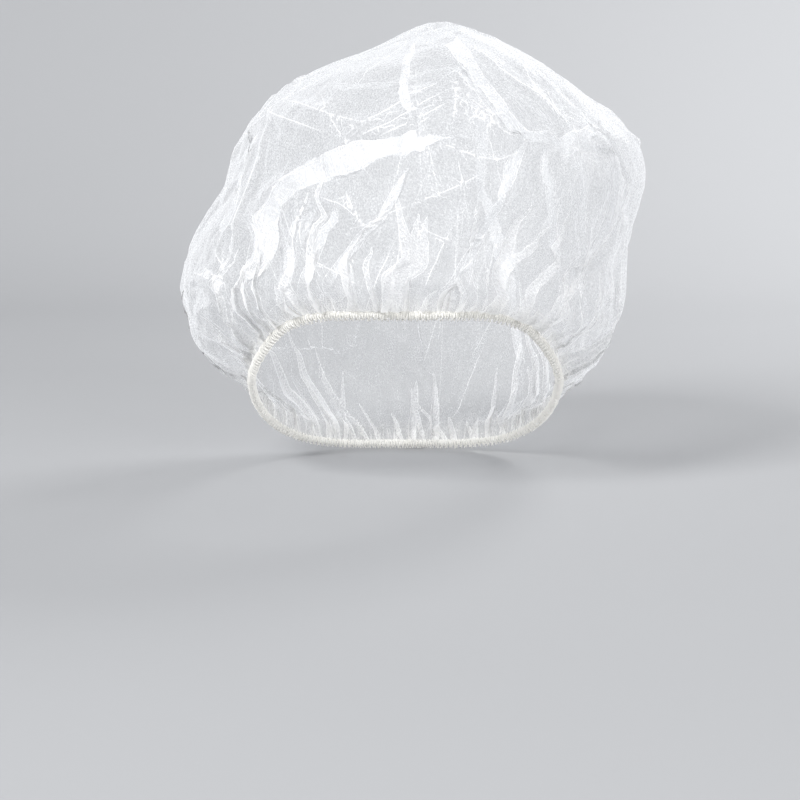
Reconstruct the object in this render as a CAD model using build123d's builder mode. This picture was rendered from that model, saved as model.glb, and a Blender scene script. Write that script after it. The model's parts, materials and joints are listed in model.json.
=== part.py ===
from build123d import *
import math
import os
from collections import namedtuple

# Disposable bouffant cap, worn shape: a thin crown with a rolled hem, an elastic
# cord inside the hem, overlock threads round it and a cut thread chain at the nape.
# Millimetres, +Z up, the wearer faces -Y, +X is the wearer's left.
# Origin: centre of the elasticated head opening.
# Crown, cord and threads are each made as a front (-Y) and a rear (+Y) half.

os.makedirs("parts", exist_ok=True)

# ---------------------------------------------------------------- dimensions
RIM_HALF_WIDTH = 82.5       # head opening, to the hem's centre line
RIM_HALF_DEPTH = 97.0
RIM_POWER = 2.4             # roundness of the opening's outline (2 = plain ellipse)
FABRIC_T = 0.5              # wall of the crown (real non-woven sheet: about 0.1)
HEM_R = 2.1                 # outside radius of the rolled hem
HEM_BORE_R = 1.35           # radius of the channel inside the hem
CORD_R = 1.10               # radius of the elastic cord in that channel
SPLIT_GAP = 0.2             # clearance between the front and the rear half

HEM_PATH_POINTS = 21        # spline points along one half of the hem
HEM_OVERRUN = 4.0           # rough distance the hem path runs past the split plane
RIM_STEPS = 1600            # steps used to measure lengths along the rim
OUTLINE_POINTS = 20         # spline points round each crown section

# Hem centre line: (y, height above the origin), front to back.  Level across the
# forehead, steep past the temples, then a long fall to the nape.
RIM_PROFILE = [
    (-99.5, 50.3), (-97, 49.9), (-90, 49.0), (-82.4, 46.0), (-73, 41.0),
    (-64, 34.2), (-47, 22.2), (-24, 9.6), (0, 0.0), (26, -12.6),
    (53, -26.8), (78, -39.0), (92, -44.2), (99.5, -45.8),
]

# Crown sections, bottom to top: height at y=0, tangent of the backward tilt,
# extents in plan (y_min is the front), outline power.
Section = namedtuple("Section", "height tilt x_min x_max y_min y_max power")
SECTIONS = [Section(*row) for row in (
    (-5.0, 0.49, -RIM_HALF_WIDTH, RIM_HALF_WIDTH,
     -RIM_HALF_DEPTH, RIM_HALF_DEPTH, RIM_POWER),
    (9.0, 0.47, -84.5, 85.5, -98.6, 98.8, 2.38),
    (15.0, 0.41, -97.0, 101.0, -101.0, 109.0, 2.34),
    (25.0, 0.33, -110.0, 111.0, -103.6, 121.0, 2.30),
    (37.0, 0.24, -115.5, 116.0, -105.6, 132.5, 2.25),
    (52.0, 0.12, -119.6, 118.8, -107.6, 144.0, 2.20),
    (70.0, 0.0, -117.6, 119.6, -110.2, 151.5, 2.16),
    (90.0, 0.0, -108.5, 123.5, -113.6, 152.0, 2.12),
    (115.0, 0.0, -93.5, 128.2, -114.0, 147.0, 2.10),
    (135.0, 0.0, -85.5, 121.0, -110.0, 138.0, 2.08),
    (150.0, 0.0, -75.5, 107.0, -102.0, 126.0, 2.06),
    (165.0, 0.0, -55.5, 88.0, -88.0, 108.0, 2.04),
    (178.0, 0.0, -26.0, 67.0, -68.0, 86.0, 2.0),
    (188.0, 0.0, -2.0, 45.0, -42.0, 59.0, 2.0),
    (193.5, 0.0, 10.0, 33.5, -18.0, 35.0, 2.0),
    (196.0, 0.0, 19.0, 25.0, 5.0, 13.0, 2.0),
)]

# Inner surface of the crown
MAX_INSET_FACTOR = 4.2      # most the inset may grow on a shallow wall
MIN_RISE = 0.5              # least rise used when working out a wall's slope
BOTTOM_DROP = 2.0           # lowest inner section starts this far below the outer
TOP_INSET_X = 1.2           # inset of the topmost inner section
TOP_INSET_Y = 1.6

# Block that trims the crown's lower edge
CUT_REACH_Y = 99.4          # the rim's profile is followed between -y and +y
CUT_STEPS = 40
CUT_HALF_DEPTH = 125
CUT_HALF_WIDTH = 130
CUT_BOTTOM = -90
CUT_FRONT_DROP = 1          # fall of the cut from the profile's front end outward
CUT_BACK_DROP = 12          # and from its back end

# Overlock threads.  Angles go round the hem: 0 is outward, 90 is up.
THREAD_R = 0.18
LOOP_R = 2.36               # radius at which the threads wrap round the hem
STITCH_PITCH = 3.6          # distance between thread loops along the hem
LOOP_SPAN = 134.0
UPPER_START = -84.0         # outside of the hem, from below to above
LOWER_START = 130.0         # inside of the hem, from above to below
NEEDLE_ANGLE = 62.0
NEEDLE_LEN = 0.68 * STITCH_PITCH

# Cut thread chain: lies along the outside of the hem, its end springing away
TAIL_LEN = 11.0
TAIL_START_X = 1.2          # distance from the nape point to the chain's start
TAIL_RADII = (0.75, 0.4)
# (fraction of the length along +X, y from the nape point, z from the nape point)
TAIL_POINTS = [(0, 3.1, -1.7), (0.35, 3.5, -2.1), (0.70, 4.3, -2.0), (1, 5.6, -2.7)]

# The two halves.  Rim angles: 0 is +X, 90 degrees is the nape (+Y).
Half = namedtuple("Half", "name path_angles thread_angles cut keep")
OVERRUN_ANGLE = (HEM_OVERRUN / RIM_HALF_DEPTH) ** (RIM_POWER / 2)
HALVES = (
    Half(name="front",
         path_angles=(2 * math.pi + OVERRUN_ANGLE, math.pi - OVERRUN_ANGLE),
         thread_angles=(math.pi, 2 * math.pi),
         cut=Plane.XZ.offset(SPLIT_GAP / 2),      # the plane faces -Y
         keep=Keep.TOP),
    Half(name="rear",
         path_angles=(-OVERRUN_ANGLE, math.pi + OVERRUN_ANGLE),
         thread_angles=(0.0, math.pi),
         cut=Plane.XZ.offset(-SPLIT_GAP / 2),
         keep=Keep.BOTTOM),
)


# ---------------------------------------------------------------- crown sections
def superellipse(angle, power):
    """Point of a superellipse with unit half axes."""
    return [math.copysign(abs(v) ** (2 / power), v)
            for v in (math.cos(angle), math.sin(angle))]


def section_plane(section):
    """Plane of a section, falling toward the back by its tilt."""
    tilt = math.atan(section.tilt)
    return Plane(origin=(0, 0, section.height), x_dir=(1, 0, 0),
                 z_dir=(0, math.sin(tilt), math.cos(tilt)))


def section_points(section):
    """Closed outline of a section, in the coordinates of its tilted plane."""
    x_mid = (section.x_min + section.x_max) / 2
    y_mid = (section.y_min + section.y_max) / 2
    half_x = (section.x_max - section.x_min) / 2
    half_y = (section.y_max - section.y_min) / 2
    stretch = math.cos(math.atan(section.tilt))
    points = []
    for i in range(OUTLINE_POINTS):
        x, y = superellipse(2 * math.pi * i / OUTLINE_POINTS, section.power)
        points.append((x_mid + half_x * x, (y_mid + half_y * y) / stretch))
    return points


def drawn_in(section, insets, drop=0.0):
    """Section lowered by drop, its four extents moved inward by the insets."""
    x_low, x_high, y_low, y_high = insets
    return Section(section.height - drop, section.tilt,
                   section.x_min + x_low, section.x_max - x_high,
                   section.y_min + y_low, section.y_max - y_high, section.power)


def wall_inset(run, rise):
    """Horizontal thickness of a wall with this slope."""
    slope = run / max(rise, MIN_RISE)
    return FABRIC_T * min(math.sqrt(1 + slope * slope), MAX_INSET_FACTOR)


def wall_insets(below, above):
    """Insets of a section at its four extents, from its two neighbours."""
    insets = []
    for side in ("x_min", "x_max", "y_min", "y_max"):
        low, high = getattr(below, side), getattr(above, side)
        rise = above.height - below.height
        if side.startswith("y"):
            # the wall's height at the front and back also follows the tilt
            rise = abs((above.height - above.tilt * high)
                       - (below.height - below.tilt * low))
        insets.append(wall_inset(high - low, rise))
    return insets


def inner_sections():
    """The crown sections, drawn in by the wall's thickness along its slope."""
    bottom = drawn_in(SECTIONS[0], [FABRIC_T] * 4, drop=BOTTOM_DROP)
    middle = [drawn_in(section, wall_insets(below, above))
              for below, section, above in zip(SECTIONS, SECTIONS[1:], SECTIONS[2:])]
    top = drawn_in(SECTIONS[-1], (TOP_INSET_X, TOP_INSET_X, TOP_INSET_Y, TOP_INSET_Y),
                   drop=FABRIC_T)
    return [bottom, *middle, top]


# ---------------------------------------------------------------- rim and hem path
def profile_slope(i):
    """Slope of RIM_PROFILE at an entry; the end entries take their neighbour's."""
    i = min(max(i, 1), len(RIM_PROFILE) - 2)
    (y0, z0), (y1, z1) = RIM_PROFILE[i - 1], RIM_PROFILE[i + 1]
    return (z1 - z0) / (y1 - y0)


def rim_height(y):
    """Height of the hem's centre line at depth y: cubic Hermite through RIM_PROFILE."""
    y = min(max(y, RIM_PROFILE[0][0]), RIM_PROFILE[-1][0])
    i = 0
    while y > RIM_PROFILE[i + 1][0]:
        i += 1
    (y0, z0), (y1, z1) = RIM_PROFILE[i], RIM_PROFILE[i + 1]
    t = (y - y0) / (y1 - y0)
    rise0 = profile_slope(i) * (y1 - y0)
    rise1 = profile_slope(i + 1) * (y1 - y0)
    return ((2 * t ** 3 - 3 * t ** 2 + 1) * z0 + (t ** 3 - 2 * t ** 2 + t) * rise0
            + (-2 * t ** 3 + 3 * t ** 2) * z1 + (t ** 3 - t ** 2) * rise1)


def rim_point(angle):
    """Point of the hem's centre line."""
    x, y = superellipse(angle, RIM_POWER)
    y *= RIM_HALF_DEPTH
    return Vector(RIM_HALF_WIDTH * x, y, rim_height(y))


def even_rim(start, end, count):
    """Points at equal distances along the rim between two angles, and its length."""
    fine = [rim_point(start + (end - start) * i / RIM_STEPS)
            for i in range(RIM_STEPS + 1)]
    travelled = [0.0]
    for here, ahead in zip(fine, fine[1:]):
        travelled.append(travelled[-1] + (ahead - here).length)
    points = []
    j = 0
    for i in range(count):
        target = travelled[-1] * i / (count - 1)
        while j < RIM_STEPS - 1 and travelled[j + 1] < target:
            j += 1
        fraction = (target - travelled[j]) / max(travelled[j + 1] - travelled[j], 1e-9)
        points.append(fine[j] + (fine[j + 1] - fine[j]) * fraction)
    return points, travelled[-1]


def hem_path(half):
    """The hem's centre line in one half, a little past the split plane."""
    points, _ = even_rim(*half.path_angles, HEM_PATH_POINTS)
    with BuildLine() as path:
        Spline(*points)
    return path.line


def start_plane(path):
    """Plane square to the path at its start."""
    return Plane(origin=path @ 0, z_dir=path % 0)


# ---------------------------------------------------------------- crown, hem, cord
def crown_shell():
    """The whole crown as a thin shell, trimmed along the rim."""
    with BuildPart() as shell:
        for section in SECTIONS:
            with BuildSketch(section_plane(section)):
                with BuildLine():
                    Spline(*section_points(section), periodic=True)
                make_face()
        loft()
        for section in inner_sections():
            with BuildSketch(section_plane(section)):
                with BuildLine():
                    Spline(*section_points(section), periodic=True)
                make_face()
        loft(mode=Mode.SUBTRACT)
        # lower edge, cut along the rim's profile
        depths = [-CUT_REACH_Y + 2 * CUT_REACH_Y * i / CUT_STEPS
                  for i in range(CUT_STEPS + 1)]
        edge = [(y, rim_height(y)) for y in depths]
        with BuildSketch(Plane.YZ):
            with BuildLine():
                Spline(*edge)
                Polyline(edge[-1],
                         (CUT_HALF_DEPTH, edge[-1][1] - CUT_BACK_DROP),
                         (CUT_HALF_DEPTH, CUT_BOTTOM),
                         (-CUT_HALF_DEPTH, CUT_BOTTOM),
                         (-CUT_HALF_DEPTH, edge[0][1] - CUT_FRONT_DROP),
                         edge[0])
            make_face()
        extrude(amount=CUT_HALF_WIDTH, both=True, mode=Mode.SUBTRACT)
    return shell.part


def rim_rod(half, path, radius):
    """Round rod along the hem path, cut off at the split plane."""
    with BuildPart() as rod:
        with BuildSketch(start_plane(path)):
            Circle(radius)
        sweep(path=path)
        split(bisect_by=half.cut, keep=half.keep)
    return rod.part


def crown_half(half, path, shell):
    """Half the shell with its hem, bored for the elastic cord."""
    hem = rim_rod(half, path, HEM_R)
    with BuildPart() as crown:
        add(shell)
        split(bisect_by=half.cut, keep=half.keep)
        add(hem)
        with BuildSketch(start_plane(path)):
            Circle(HEM_BORE_R)
        sweep(path=path, mode=Mode.SUBTRACT)
    return crown.part


# ---------------------------------------------------------------- overlock threads
def stitch_places(half, angle, offset=0.0):
    """One location per stitch: X points from the hem's centre line at the given
    angle, Z lies along the hem, the origin is moved by offset along X."""
    _, length = even_rim(*half.thread_angles, 3)
    count = int(length / STITCH_PITCH)
    quarters, _ = even_rim(*half.thread_angles, 4 * count + 1)
    turn = math.radians(angle)
    places = []
    for middle in range(2, 4 * count, 4):
        point = quarters[middle]
        along = (quarters[middle + 1] - quarters[middle - 1]).normalized()
        up = (Vector(0, 0, 1) - along * along.Z).normalized()
        out = up.cross(along)
        if out.X * point.X + out.Y * point.Y < 0:
            out = out * -1
        x_dir = out * math.cos(turn) + up * math.sin(turn)
        plane = Plane(origin=point + x_dir * offset, x_dir=x_dir, z_dir=out.cross(up))
        places.append(plane.location)
    return places


def looper_thread(half, start_angle):
    """Arcs of thread wrapped part of the way round the hem."""
    with BuildPart() as thread:
        with Locations(*stitch_places(half, start_angle)):
            Torus(LOOP_R, THREAD_R, major_angle=LOOP_SPAN, align=None)
    return thread.part


def needle_thread(half):
    """Short straight stitches lying along the hem."""
    with BuildPart() as thread:
        with Locations(*stitch_places(half, NEEDLE_ANGLE, offset=LOOP_R)):
            Cylinder(THREAD_R, NEEDLE_LEN)
    return thread.part


def seam_tail():
    """Cut thread chain at the nape."""
    nape = rim_point(math.pi / 2)
    points = [(nape.X + TAIL_START_X + TAIL_LEN * fraction, nape.Y + y, nape.Z + z)
              for fraction, y, z in TAIL_POINTS]
    with BuildPart() as tail:
        with BuildLine() as chain:
            Spline(*points)
        with BuildSketch(start_plane(chain.line)):
            Ellipse(*TAIL_RADII)
        sweep(path=chain.line)
    return tail.part


# ---------------------------------------------------------------- files
def save(part, name):
    part.label = name
    export_step(part, f"parts/{name}.step")


whole_shell = crown_shell()
for half in HALVES:
    path = hem_path(half)
    save(crown_half(half, path, whole_shell), f"crown_{half.name}")
    save(rim_rod(half, path, CORD_R), f"elastic_{half.name}")
    save(needle_thread(half), f"needle_thread_{half.name}")
    save(looper_thread(half, UPPER_START), f"upper_looper_thread_{half.name}")
    save(looper_thread(half, LOWER_START), f"lower_looper_thread_{half.name}")
save(seam_tail(), "seam_tail")
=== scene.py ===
"""Looks of a disposable bouffant cap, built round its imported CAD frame. Metres, +Z up.

The brow lies towards -Y, where the camera stands, and the nape towards +Y. The hem is high at
the brow and low at the nape. A crown of thin nonwoven sheet is gathered into a rolled hem, which
holds an elastic cord and is overlocked with three threads.
"""
import json
import math

import bpy
import numpy as np
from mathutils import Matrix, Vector
from mathutils.bvhtree import BVHTree

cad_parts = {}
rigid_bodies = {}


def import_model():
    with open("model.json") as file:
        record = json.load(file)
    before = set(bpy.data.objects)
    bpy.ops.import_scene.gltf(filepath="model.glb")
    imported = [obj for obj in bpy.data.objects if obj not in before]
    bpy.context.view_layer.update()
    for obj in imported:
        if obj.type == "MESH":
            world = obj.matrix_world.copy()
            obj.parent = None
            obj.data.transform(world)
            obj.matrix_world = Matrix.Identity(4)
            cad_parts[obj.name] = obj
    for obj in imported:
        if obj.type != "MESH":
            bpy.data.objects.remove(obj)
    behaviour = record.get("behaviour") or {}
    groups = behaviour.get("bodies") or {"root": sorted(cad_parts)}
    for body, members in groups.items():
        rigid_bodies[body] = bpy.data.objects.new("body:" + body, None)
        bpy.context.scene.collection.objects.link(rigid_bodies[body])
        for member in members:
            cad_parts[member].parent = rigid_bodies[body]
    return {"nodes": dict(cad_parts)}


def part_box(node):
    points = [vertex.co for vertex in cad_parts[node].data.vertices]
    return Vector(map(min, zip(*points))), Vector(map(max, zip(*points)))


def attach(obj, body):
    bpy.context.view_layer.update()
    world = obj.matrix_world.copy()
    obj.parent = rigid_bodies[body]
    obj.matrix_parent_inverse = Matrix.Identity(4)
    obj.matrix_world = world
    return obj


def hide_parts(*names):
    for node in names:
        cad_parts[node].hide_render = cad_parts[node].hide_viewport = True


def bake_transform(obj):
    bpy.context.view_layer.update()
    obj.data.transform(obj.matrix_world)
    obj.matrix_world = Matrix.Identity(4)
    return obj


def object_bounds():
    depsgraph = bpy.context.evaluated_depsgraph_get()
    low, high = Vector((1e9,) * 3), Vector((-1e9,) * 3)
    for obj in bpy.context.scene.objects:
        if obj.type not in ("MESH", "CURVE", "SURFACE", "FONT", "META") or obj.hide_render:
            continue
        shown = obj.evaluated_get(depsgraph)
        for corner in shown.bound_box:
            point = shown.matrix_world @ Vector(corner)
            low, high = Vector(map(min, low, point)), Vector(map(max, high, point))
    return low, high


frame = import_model()
cad_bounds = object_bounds()
scene = bpy.context.scene
RNG = np.random.default_rng(20261)
MM = 0.001
FAR = 9.0                   # stands for "nothing near", m
TINY = 1e-6                 # keeps divisors off zero, m
OUTSIDE = -2.0              # value of the fold and pleat fields away from any fold or pleat

# Hem
CORD_RADIUS = 1.10 * MM
HEM_RADIUS = 1.75 * MM
LOOP_RADIUS = 2.12 * MM     # threads lie this far from the hem's centre line
RIM_POWER = 2.4             # exponent of the opening's superellipse in plan
# Hem centre line from the side: y, z in mm
RIM_PROFILE = np.array([
    (-99.5, 50.3), (-97, 49.9), (-90, 49.0), (-82.4, 46.0), (-73, 41.0), (-64, 34.2), (-47, 22.2),
    (-24, 9.6), (0, 0.0), (26, -12.6), (53, -26.8), (78, -39.0), (92, -44.2), (99.5, -45.8)]) * MM
STITCHES = 216              # stitch pairs round the hem

# Crown
CENTRE = Vector((0.006, 0.018, 0.066))      # middle of the crown, from which rays are cast
CENTRE_XYZ = np.array(CENTRE)
TOP = np.array([0.006, 0.052, 0.30])        # the meridians meet on the ray through this point
AROUND, DOWN = 288, 96      # base grid: meridians, and points on each
GATHER = 7.5 * MM           # height of the gathered band above the hem
SHEET_RADIUS = 285.0        # the flat disc's radius down to the hem, mm
NET_STEP = 4.3              # distance between points of the coarse net, mm


# ------------------------------------------------------------------ small tools
def unit(vectors):
    return vectors / np.maximum(np.linalg.norm(vectors, axis=-1, keepdims=True), 1e-12)


def arc_lengths(path):
    """Length along a path up to each of its points."""
    return np.concatenate([[0], np.cumsum(np.linalg.norm(np.diff(path, axis=0), axis=1))])


def resample(path, lengths, wanted):
    """Points of a path at the wanted lengths along it."""
    return np.stack([np.interp(wanted, lengths, path[:, k]) for k in range(3)], -1)


def smoothstep(x):
    x = np.clip(x, 0, 1)
    return x * x * (3 - 2 * x)


def value_noise(count, cells):
    """Smooth periodic noise in -1..1 at even places round a ring."""
    knots = RNG.uniform(-1, 1, cells)
    x = np.arange(count) / count * cells
    cell = np.floor(x).astype(int)
    part = smoothstep(x - cell)
    return knots[cell % cells] * (1 - part) + knots[(cell + 1) % cells] * part


def new_mesh(name, verts, faces):
    """A smooth-shaded mesh object."""
    mesh = bpy.data.meshes.new(name)
    mesh.from_pydata([tuple(v) for v in verts], [], [tuple(int(i) for i in f) for f in faces])
    mesh.update()
    mesh.polygons.foreach_set("use_smooth", [True] * len(mesh.polygons))
    ob = bpy.data.objects.new(name, mesh)
    scene.collection.objects.link(ob)
    return ob


def set_attributes(ob, **fields):
    """Stores point attributes: vectors from (n, 3) arrays, floats from (n,) arrays."""
    for name, values in fields.items():
        values = np.asarray(values, np.float32)
        kind, item = ("FLOAT_VECTOR", "vector") if values.ndim == 2 else ("FLOAT", "value")
        ob.data.attributes.new(name, kind, "POINT").data.foreach_set(item, values.ravel())


def in_plane(x, y):
    return np.stack([x, y, np.zeros(len(x))], 1)


def on_disc(azimuth, radius):
    """Plane x and y of places on the flat disc."""
    angle = 2 * math.pi * azimuth
    return radius * np.cos(angle), radius * np.sin(angle)


# ------------------------------------------------------------------ the hem line, from the frame
def rim_height(y):
    """Height of the hem line: a cubic Hermite curve through RIM_PROFILE."""
    ys, zs = RIM_PROFILE[:, 0], RIM_PROFILE[:, 1]
    slope = np.zeros(len(ys))
    slope[1:-1] = (zs[2:] - zs[:-2]) / (ys[2:] - ys[:-2])
    slope[0], slope[-1] = slope[1], slope[-2]
    y = np.clip(y, ys[0], ys[-1])
    i = np.clip(np.searchsorted(ys, y) - 1, 0, len(ys) - 2)
    span = ys[i + 1] - ys[i]
    x = (y - ys[i]) / span
    start_slope, end_slope = slope[i] * span, slope[i + 1] * span
    return ((2 * x**3 - 3 * x**2 + 1) * zs[i] + (x**3 - 2 * x**2 + x) * start_slope
            + (-2 * x**3 + 3 * x**2) * zs[i + 1] + (x**3 - x**2) * end_slope)


def rim_curve():
    """The hem centre line as a dense closed path, sized by the CAD elastic."""
    front_low, front_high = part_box("elastic_front")
    rear_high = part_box("elastic_rear")[1]
    half_x = (front_high.x - front_low.x) / 2 - CORD_RADIUS
    half_y = (rear_high.y - front_low.y) / 2 - CORD_RADIUS
    angle = np.linspace(0, 2 * np.pi, 6001)
    cos, sin = np.cos(angle), np.sin(angle)
    x = half_x * np.sign(cos) * np.abs(cos) ** (2 / RIM_POWER)
    y = half_y * np.sign(sin) * np.abs(sin) ** (2 / RIM_POWER)
    return np.stack([x, y, rim_height(y)], 1)


RIM = rim_curve()
RIM_LENGTHS = arc_lengths(RIM)
RIM_LENGTH = float(RIM_LENGTHS[-1])


def rim_at(share):
    """Hem centre line at shares of its length (0 at +X, 0.25 at the nape, 0.75 at the brow)."""
    return resample(RIM, RIM_LENGTHS, np.mod(share, 1.0) * RIM_LENGTH)


def rim_frame(share):
    """Point, tangent, outward and upward directions, square to each other."""
    step = 0.0012
    tangent = unit(rim_at(share + step) - rim_at(share - step))
    up = unit(np.array([0, 0, 1.0]) - tangent * tangent[..., 2:3])
    return rim_at(share), tangent, np.cross(tangent, up), up


# ------------------------------------------------------------------ base surface, off the CAD crown
def crown_tree():
    verts, polys = [], []
    for name in ("crown_front", "crown_rear"):
        mesh = frame["nodes"][name].data
        first = len(verts)
        verts += [v.co.copy() for v in mesh.vertices]
        polys += [[first + i for i in p.vertices] for p in mesh.polygons]
    return BVHTree.FromPolygons(verts, polys)


CROWN_TREE = crown_tree()


def cast(direction):
    """Outermost point of the crown from its middle, in a direction."""
    aim = Vector(direction).normalized()
    # a ray that slips through a gap in the CAD is tried again a little aside
    for nudge in (0.0, 0.012, -0.012, 0.03):
        ray = (aim + Vector((0, nudge, 0))).normalized()
        hit = CROWN_TREE.ray_cast(CENTRE + ray * 0.5, -ray)[0]
        if hit is not None and (hit - CENTRE).dot(ray) > 0.02:
            return np.array(CENTRE + aim * (hit - CENTRE).dot(aim))
    return np.array(CENTRE + aim * 0.1)


def base_grid():
    """Crown points in even steps down each meridian, from the top to the wall's foot."""
    rim, _, out, _ = rim_frame(np.arange(AROUND) / AROUND)
    above_rim = rim + np.array([0, 0, 1.0]) * GATHER + out * 3.0 * MM
    pole = unit(TOP - CENTRE_XYZ)
    grid = np.zeros((AROUND, DOWN, 3))
    for i in range(AROUND):
        foot = cast(above_rim[i] - CENTRE_XYZ)
        low = unit(foot - CENTRE_XYZ)
        angle = math.acos(float(np.clip(low @ pole, -1, 1)))
        line = np.array([cast((math.sin((1 - x) * angle) * pole + math.sin(x * angle) * low)
                              / math.sin(angle)) for x in np.linspace(0, 1, 64)])
        line[-1] = foot
        lengths = arc_lengths(line)
        grid[i] = resample(line, lengths, np.linspace(0, lengths[-1], DOWN))
    # take the sharpness out of the CAD's lower edge
    for _ in range(6):
        grid[:, 1:-1] = 0.25 * grid[:, :-2] + 0.5 * grid[:, 1:-1] + 0.25 * grid[:, 2:]
        grid = 0.25 * np.roll(grid, 1, 0) + 0.5 * grid + 0.25 * np.roll(grid, -1, 0)
        grid[:, 0] = grid[:, 0].mean(0)
    return grid


GRID = base_grid()


def on_base(azimuth, descent):
    """Base surface at azimuth share and meridian share (0 top, 1 wall's foot)."""
    x = np.mod(azimuth, 1.0) * AROUND
    y = np.clip(descent, 0, 1) * (DOWN - 1)
    i, j = np.floor(x).astype(int), np.minimum(np.floor(y).astype(int), DOWN - 2)
    x, y = (x - i)[..., None], (y - j)[..., None]
    this, after = i % AROUND, (i + 1) % AROUND
    return ((1 - x) * (1 - y) * GRID[this, j] + x * (1 - y) * GRID[after, j]
            + (1 - x) * y * GRID[this, j + 1] + x * y * GRID[after, j + 1])


# ------------------------------------------------------------------ crown sheet, flat at first
# Places on the disc are rows of azimuth share and radius in mm.
def coarse_disc():
    """Jittered rings of points on the flat disc, and the triangles between them."""
    count = int(round(SHEET_RADIUS / NET_STEP))
    rings, points, start = [], [], 0
    for k in range(count + 1):
        radius = SHEET_RADIUS * k / count
        size = 1 if k == 0 else max(6, int(round(2 * math.pi * radius / NET_STEP / 1.04)))
        azimuths = (np.arange(size) + 0.5 * (k % 2)) / size
        radii = np.full(size, radius)
        if 2 < k < count - 1:
            azimuths = azimuths + RNG.uniform(-0.22, 0.22, size) / size
            radii = radius + RNG.uniform(-0.22, 0.22, size) * NET_STEP
        rings.append((start, size))
        points.append(np.stack([azimuths, radii], 1))
        start += size
    points = np.concatenate(points)
    tris = []
    for (start_in, size_in), (start_out, size_out) in zip(rings[:-1], rings[1:]):
        if size_in == 1:
            tris += [(start_in, start_out + j, start_out + (j + 1) % size_out)
                     for j in range(size_out)]
            continue
        inner = np.append(points[start_in:start_in + size_in, 0], points[start_in, 0] + 1)
        outer = np.append(points[start_out:start_out + size_out, 0], points[start_out, 0] + 1)
        i = j = 0
        while i < size_in or j < size_out:
            corner_in, corner_out = start_in + i % size_in, start_out + j % size_out
            if j >= size_out or (i < size_in and inner[i + 1] + inner[i]
                                 < outer[j + 1] + outer[j]):
                i += 1
                tris.append((corner_in, corner_out, start_in + i % size_in))
            else:
                j += 1
                tris.append((corner_in, corner_out, start_out + j % size_out))
    return points, np.array(tris)


def halved(points, tris):
    """Each triangle into four by its sides' middles; also the pair of ends of each middle."""
    xy = np.stack(on_disc(points[:, 0], points[:, 1]), 1)
    edges = np.concatenate([tris[:, [0, 1]], tris[:, [1, 2]], tris[:, [2, 0]]])
    edges.sort(axis=1)
    pairs, edge_pair = np.unique(edges, axis=0, return_inverse=True)
    middle = (xy[pairs[:, 0]] + xy[pairs[:, 1]]) / 2
    # a middle between two points of the outer ring stays on it
    on_edge = (points[pairs, 1] > SHEET_RADIUS - 0.01).all(1)
    radius = np.where(on_edge, SHEET_RADIUS, np.linalg.norm(middle, axis=1))
    azimuth = np.mod(np.arctan2(middle[:, 1], middle[:, 0]) / (2 * math.pi), 1.0)
    mid01, mid12, mid20 = len(points) + edge_pair.reshape(3, -1)
    corner0, corner1, corner2 = tris.T
    fine = np.concatenate([np.stack(corners, 1) for corners in (
        (corner0, mid01, mid20), (mid01, corner1, mid12),
        (mid20, mid12, corner2), (mid01, mid12, mid20))])
    return np.concatenate([points, np.stack([azimuth, radius], 1)]), fine, pairs


def place(azimuth, radius):
    """Disc places to the worn surface, ending on the hem."""
    wall = SHEET_RADIUS - GATHER / MM
    low = np.clip((radius - wall) / (SHEET_RADIUS - wall), 0, 1)[..., None]
    rim, _, _, up = rim_frame(azimuth)
    hem_top = rim + up * (HEM_RADIUS * 0.55)
    foot = on_base(azimuth, np.ones_like(radius))
    return np.where(radius[..., None] > wall, foot * (1 - low) + hem_top * low,
                    on_base(azimuth, radius / wall))


def normals_of(points, tris):
    corners = [points[tris[:, k]] for k in range(3)]
    face_normals = np.cross(corners[1] - corners[0], corners[2] - corners[0])
    total = np.zeros_like(points)
    for k in range(3):
        np.add.at(total, tris[:, k], face_normals)
    return unit(total)


def facet_shift(points):
    """Shift that makes the dome large nearly flat facets that meet in straight ridges."""
    spacing, reach = 0.036, 0.062       # least distance of facet seeds, a facet's furthest point
    sink = 3.4                          # facet planes lie this far below their seeds, mm
    deepest, highest = -5.5 * MM, 4.0 * MM
    least_slant = 0.25                  # rays flatter to a facet than this miss it
    rng = np.random.default_rng(414)
    azimuth = rng.uniform(0, 1, 900)
    descent = np.sqrt(rng.uniform(0.0, 0.92, 900))
    seeds = on_base(azimuth, descent)
    chosen = [0]
    for i in range(1, len(seeds)):
        if np.linalg.norm(seeds[chosen] - seeds[i], axis=1).min() > spacing:
            chosen.append(i)
    azimuth, descent, seeds = azimuth[chosen], descent[chosen], seeds[chosen]
    step = 0.012
    normals = unit(np.cross(
        on_base(azimuth + step, descent) - on_base(azimuth - step, descent),
        on_base(azimuth, np.minimum(descent + step, 1))
        - on_base(azimuth, np.maximum(descent - step, 0))))
    normals *= np.sign((normals * (seeds - CENTRE_XYZ)).sum(1))[:, None]
    normals = unit(normals + rng.normal(0, 0.035, normals.shape))
    anchors = seeds - normals * sink * MM
    distance = np.linalg.norm(points - CENTRE_XYZ, axis=1)
    rays = (points - CENTRE_XYZ) / distance[:, None]
    nearest = np.full(len(points), FAR)
    for seed, normal, anchor in zip(seeds, normals, anchors):
        slant = rays @ normal
        plane = ((anchor - CENTRE_XYZ) @ normal) / np.maximum(slant, least_slant)
        missed = (slant <= least_slant) | (np.linalg.norm(points - seed, axis=1) > reach)
        nearest = np.minimum(nearest, np.where(missed, FAR, plane))
    gain = np.where(nearest < FAR - 1, np.clip(nearest - distance, deepest, highest), 0)
    return rays * gain[:, None]


net_places, net_tris = coarse_disc()
places, tris, mid_pairs = halved(net_places, net_tris)
azimuths, radii = places.T
base = place(azimuths, radii)
base = base + facet_shift(base) * (0.85 * smoothstep((SHEET_RADIUS - 14 - radii) / 26.0))[:, None]
base_normals = normals_of(base, tris)

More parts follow.
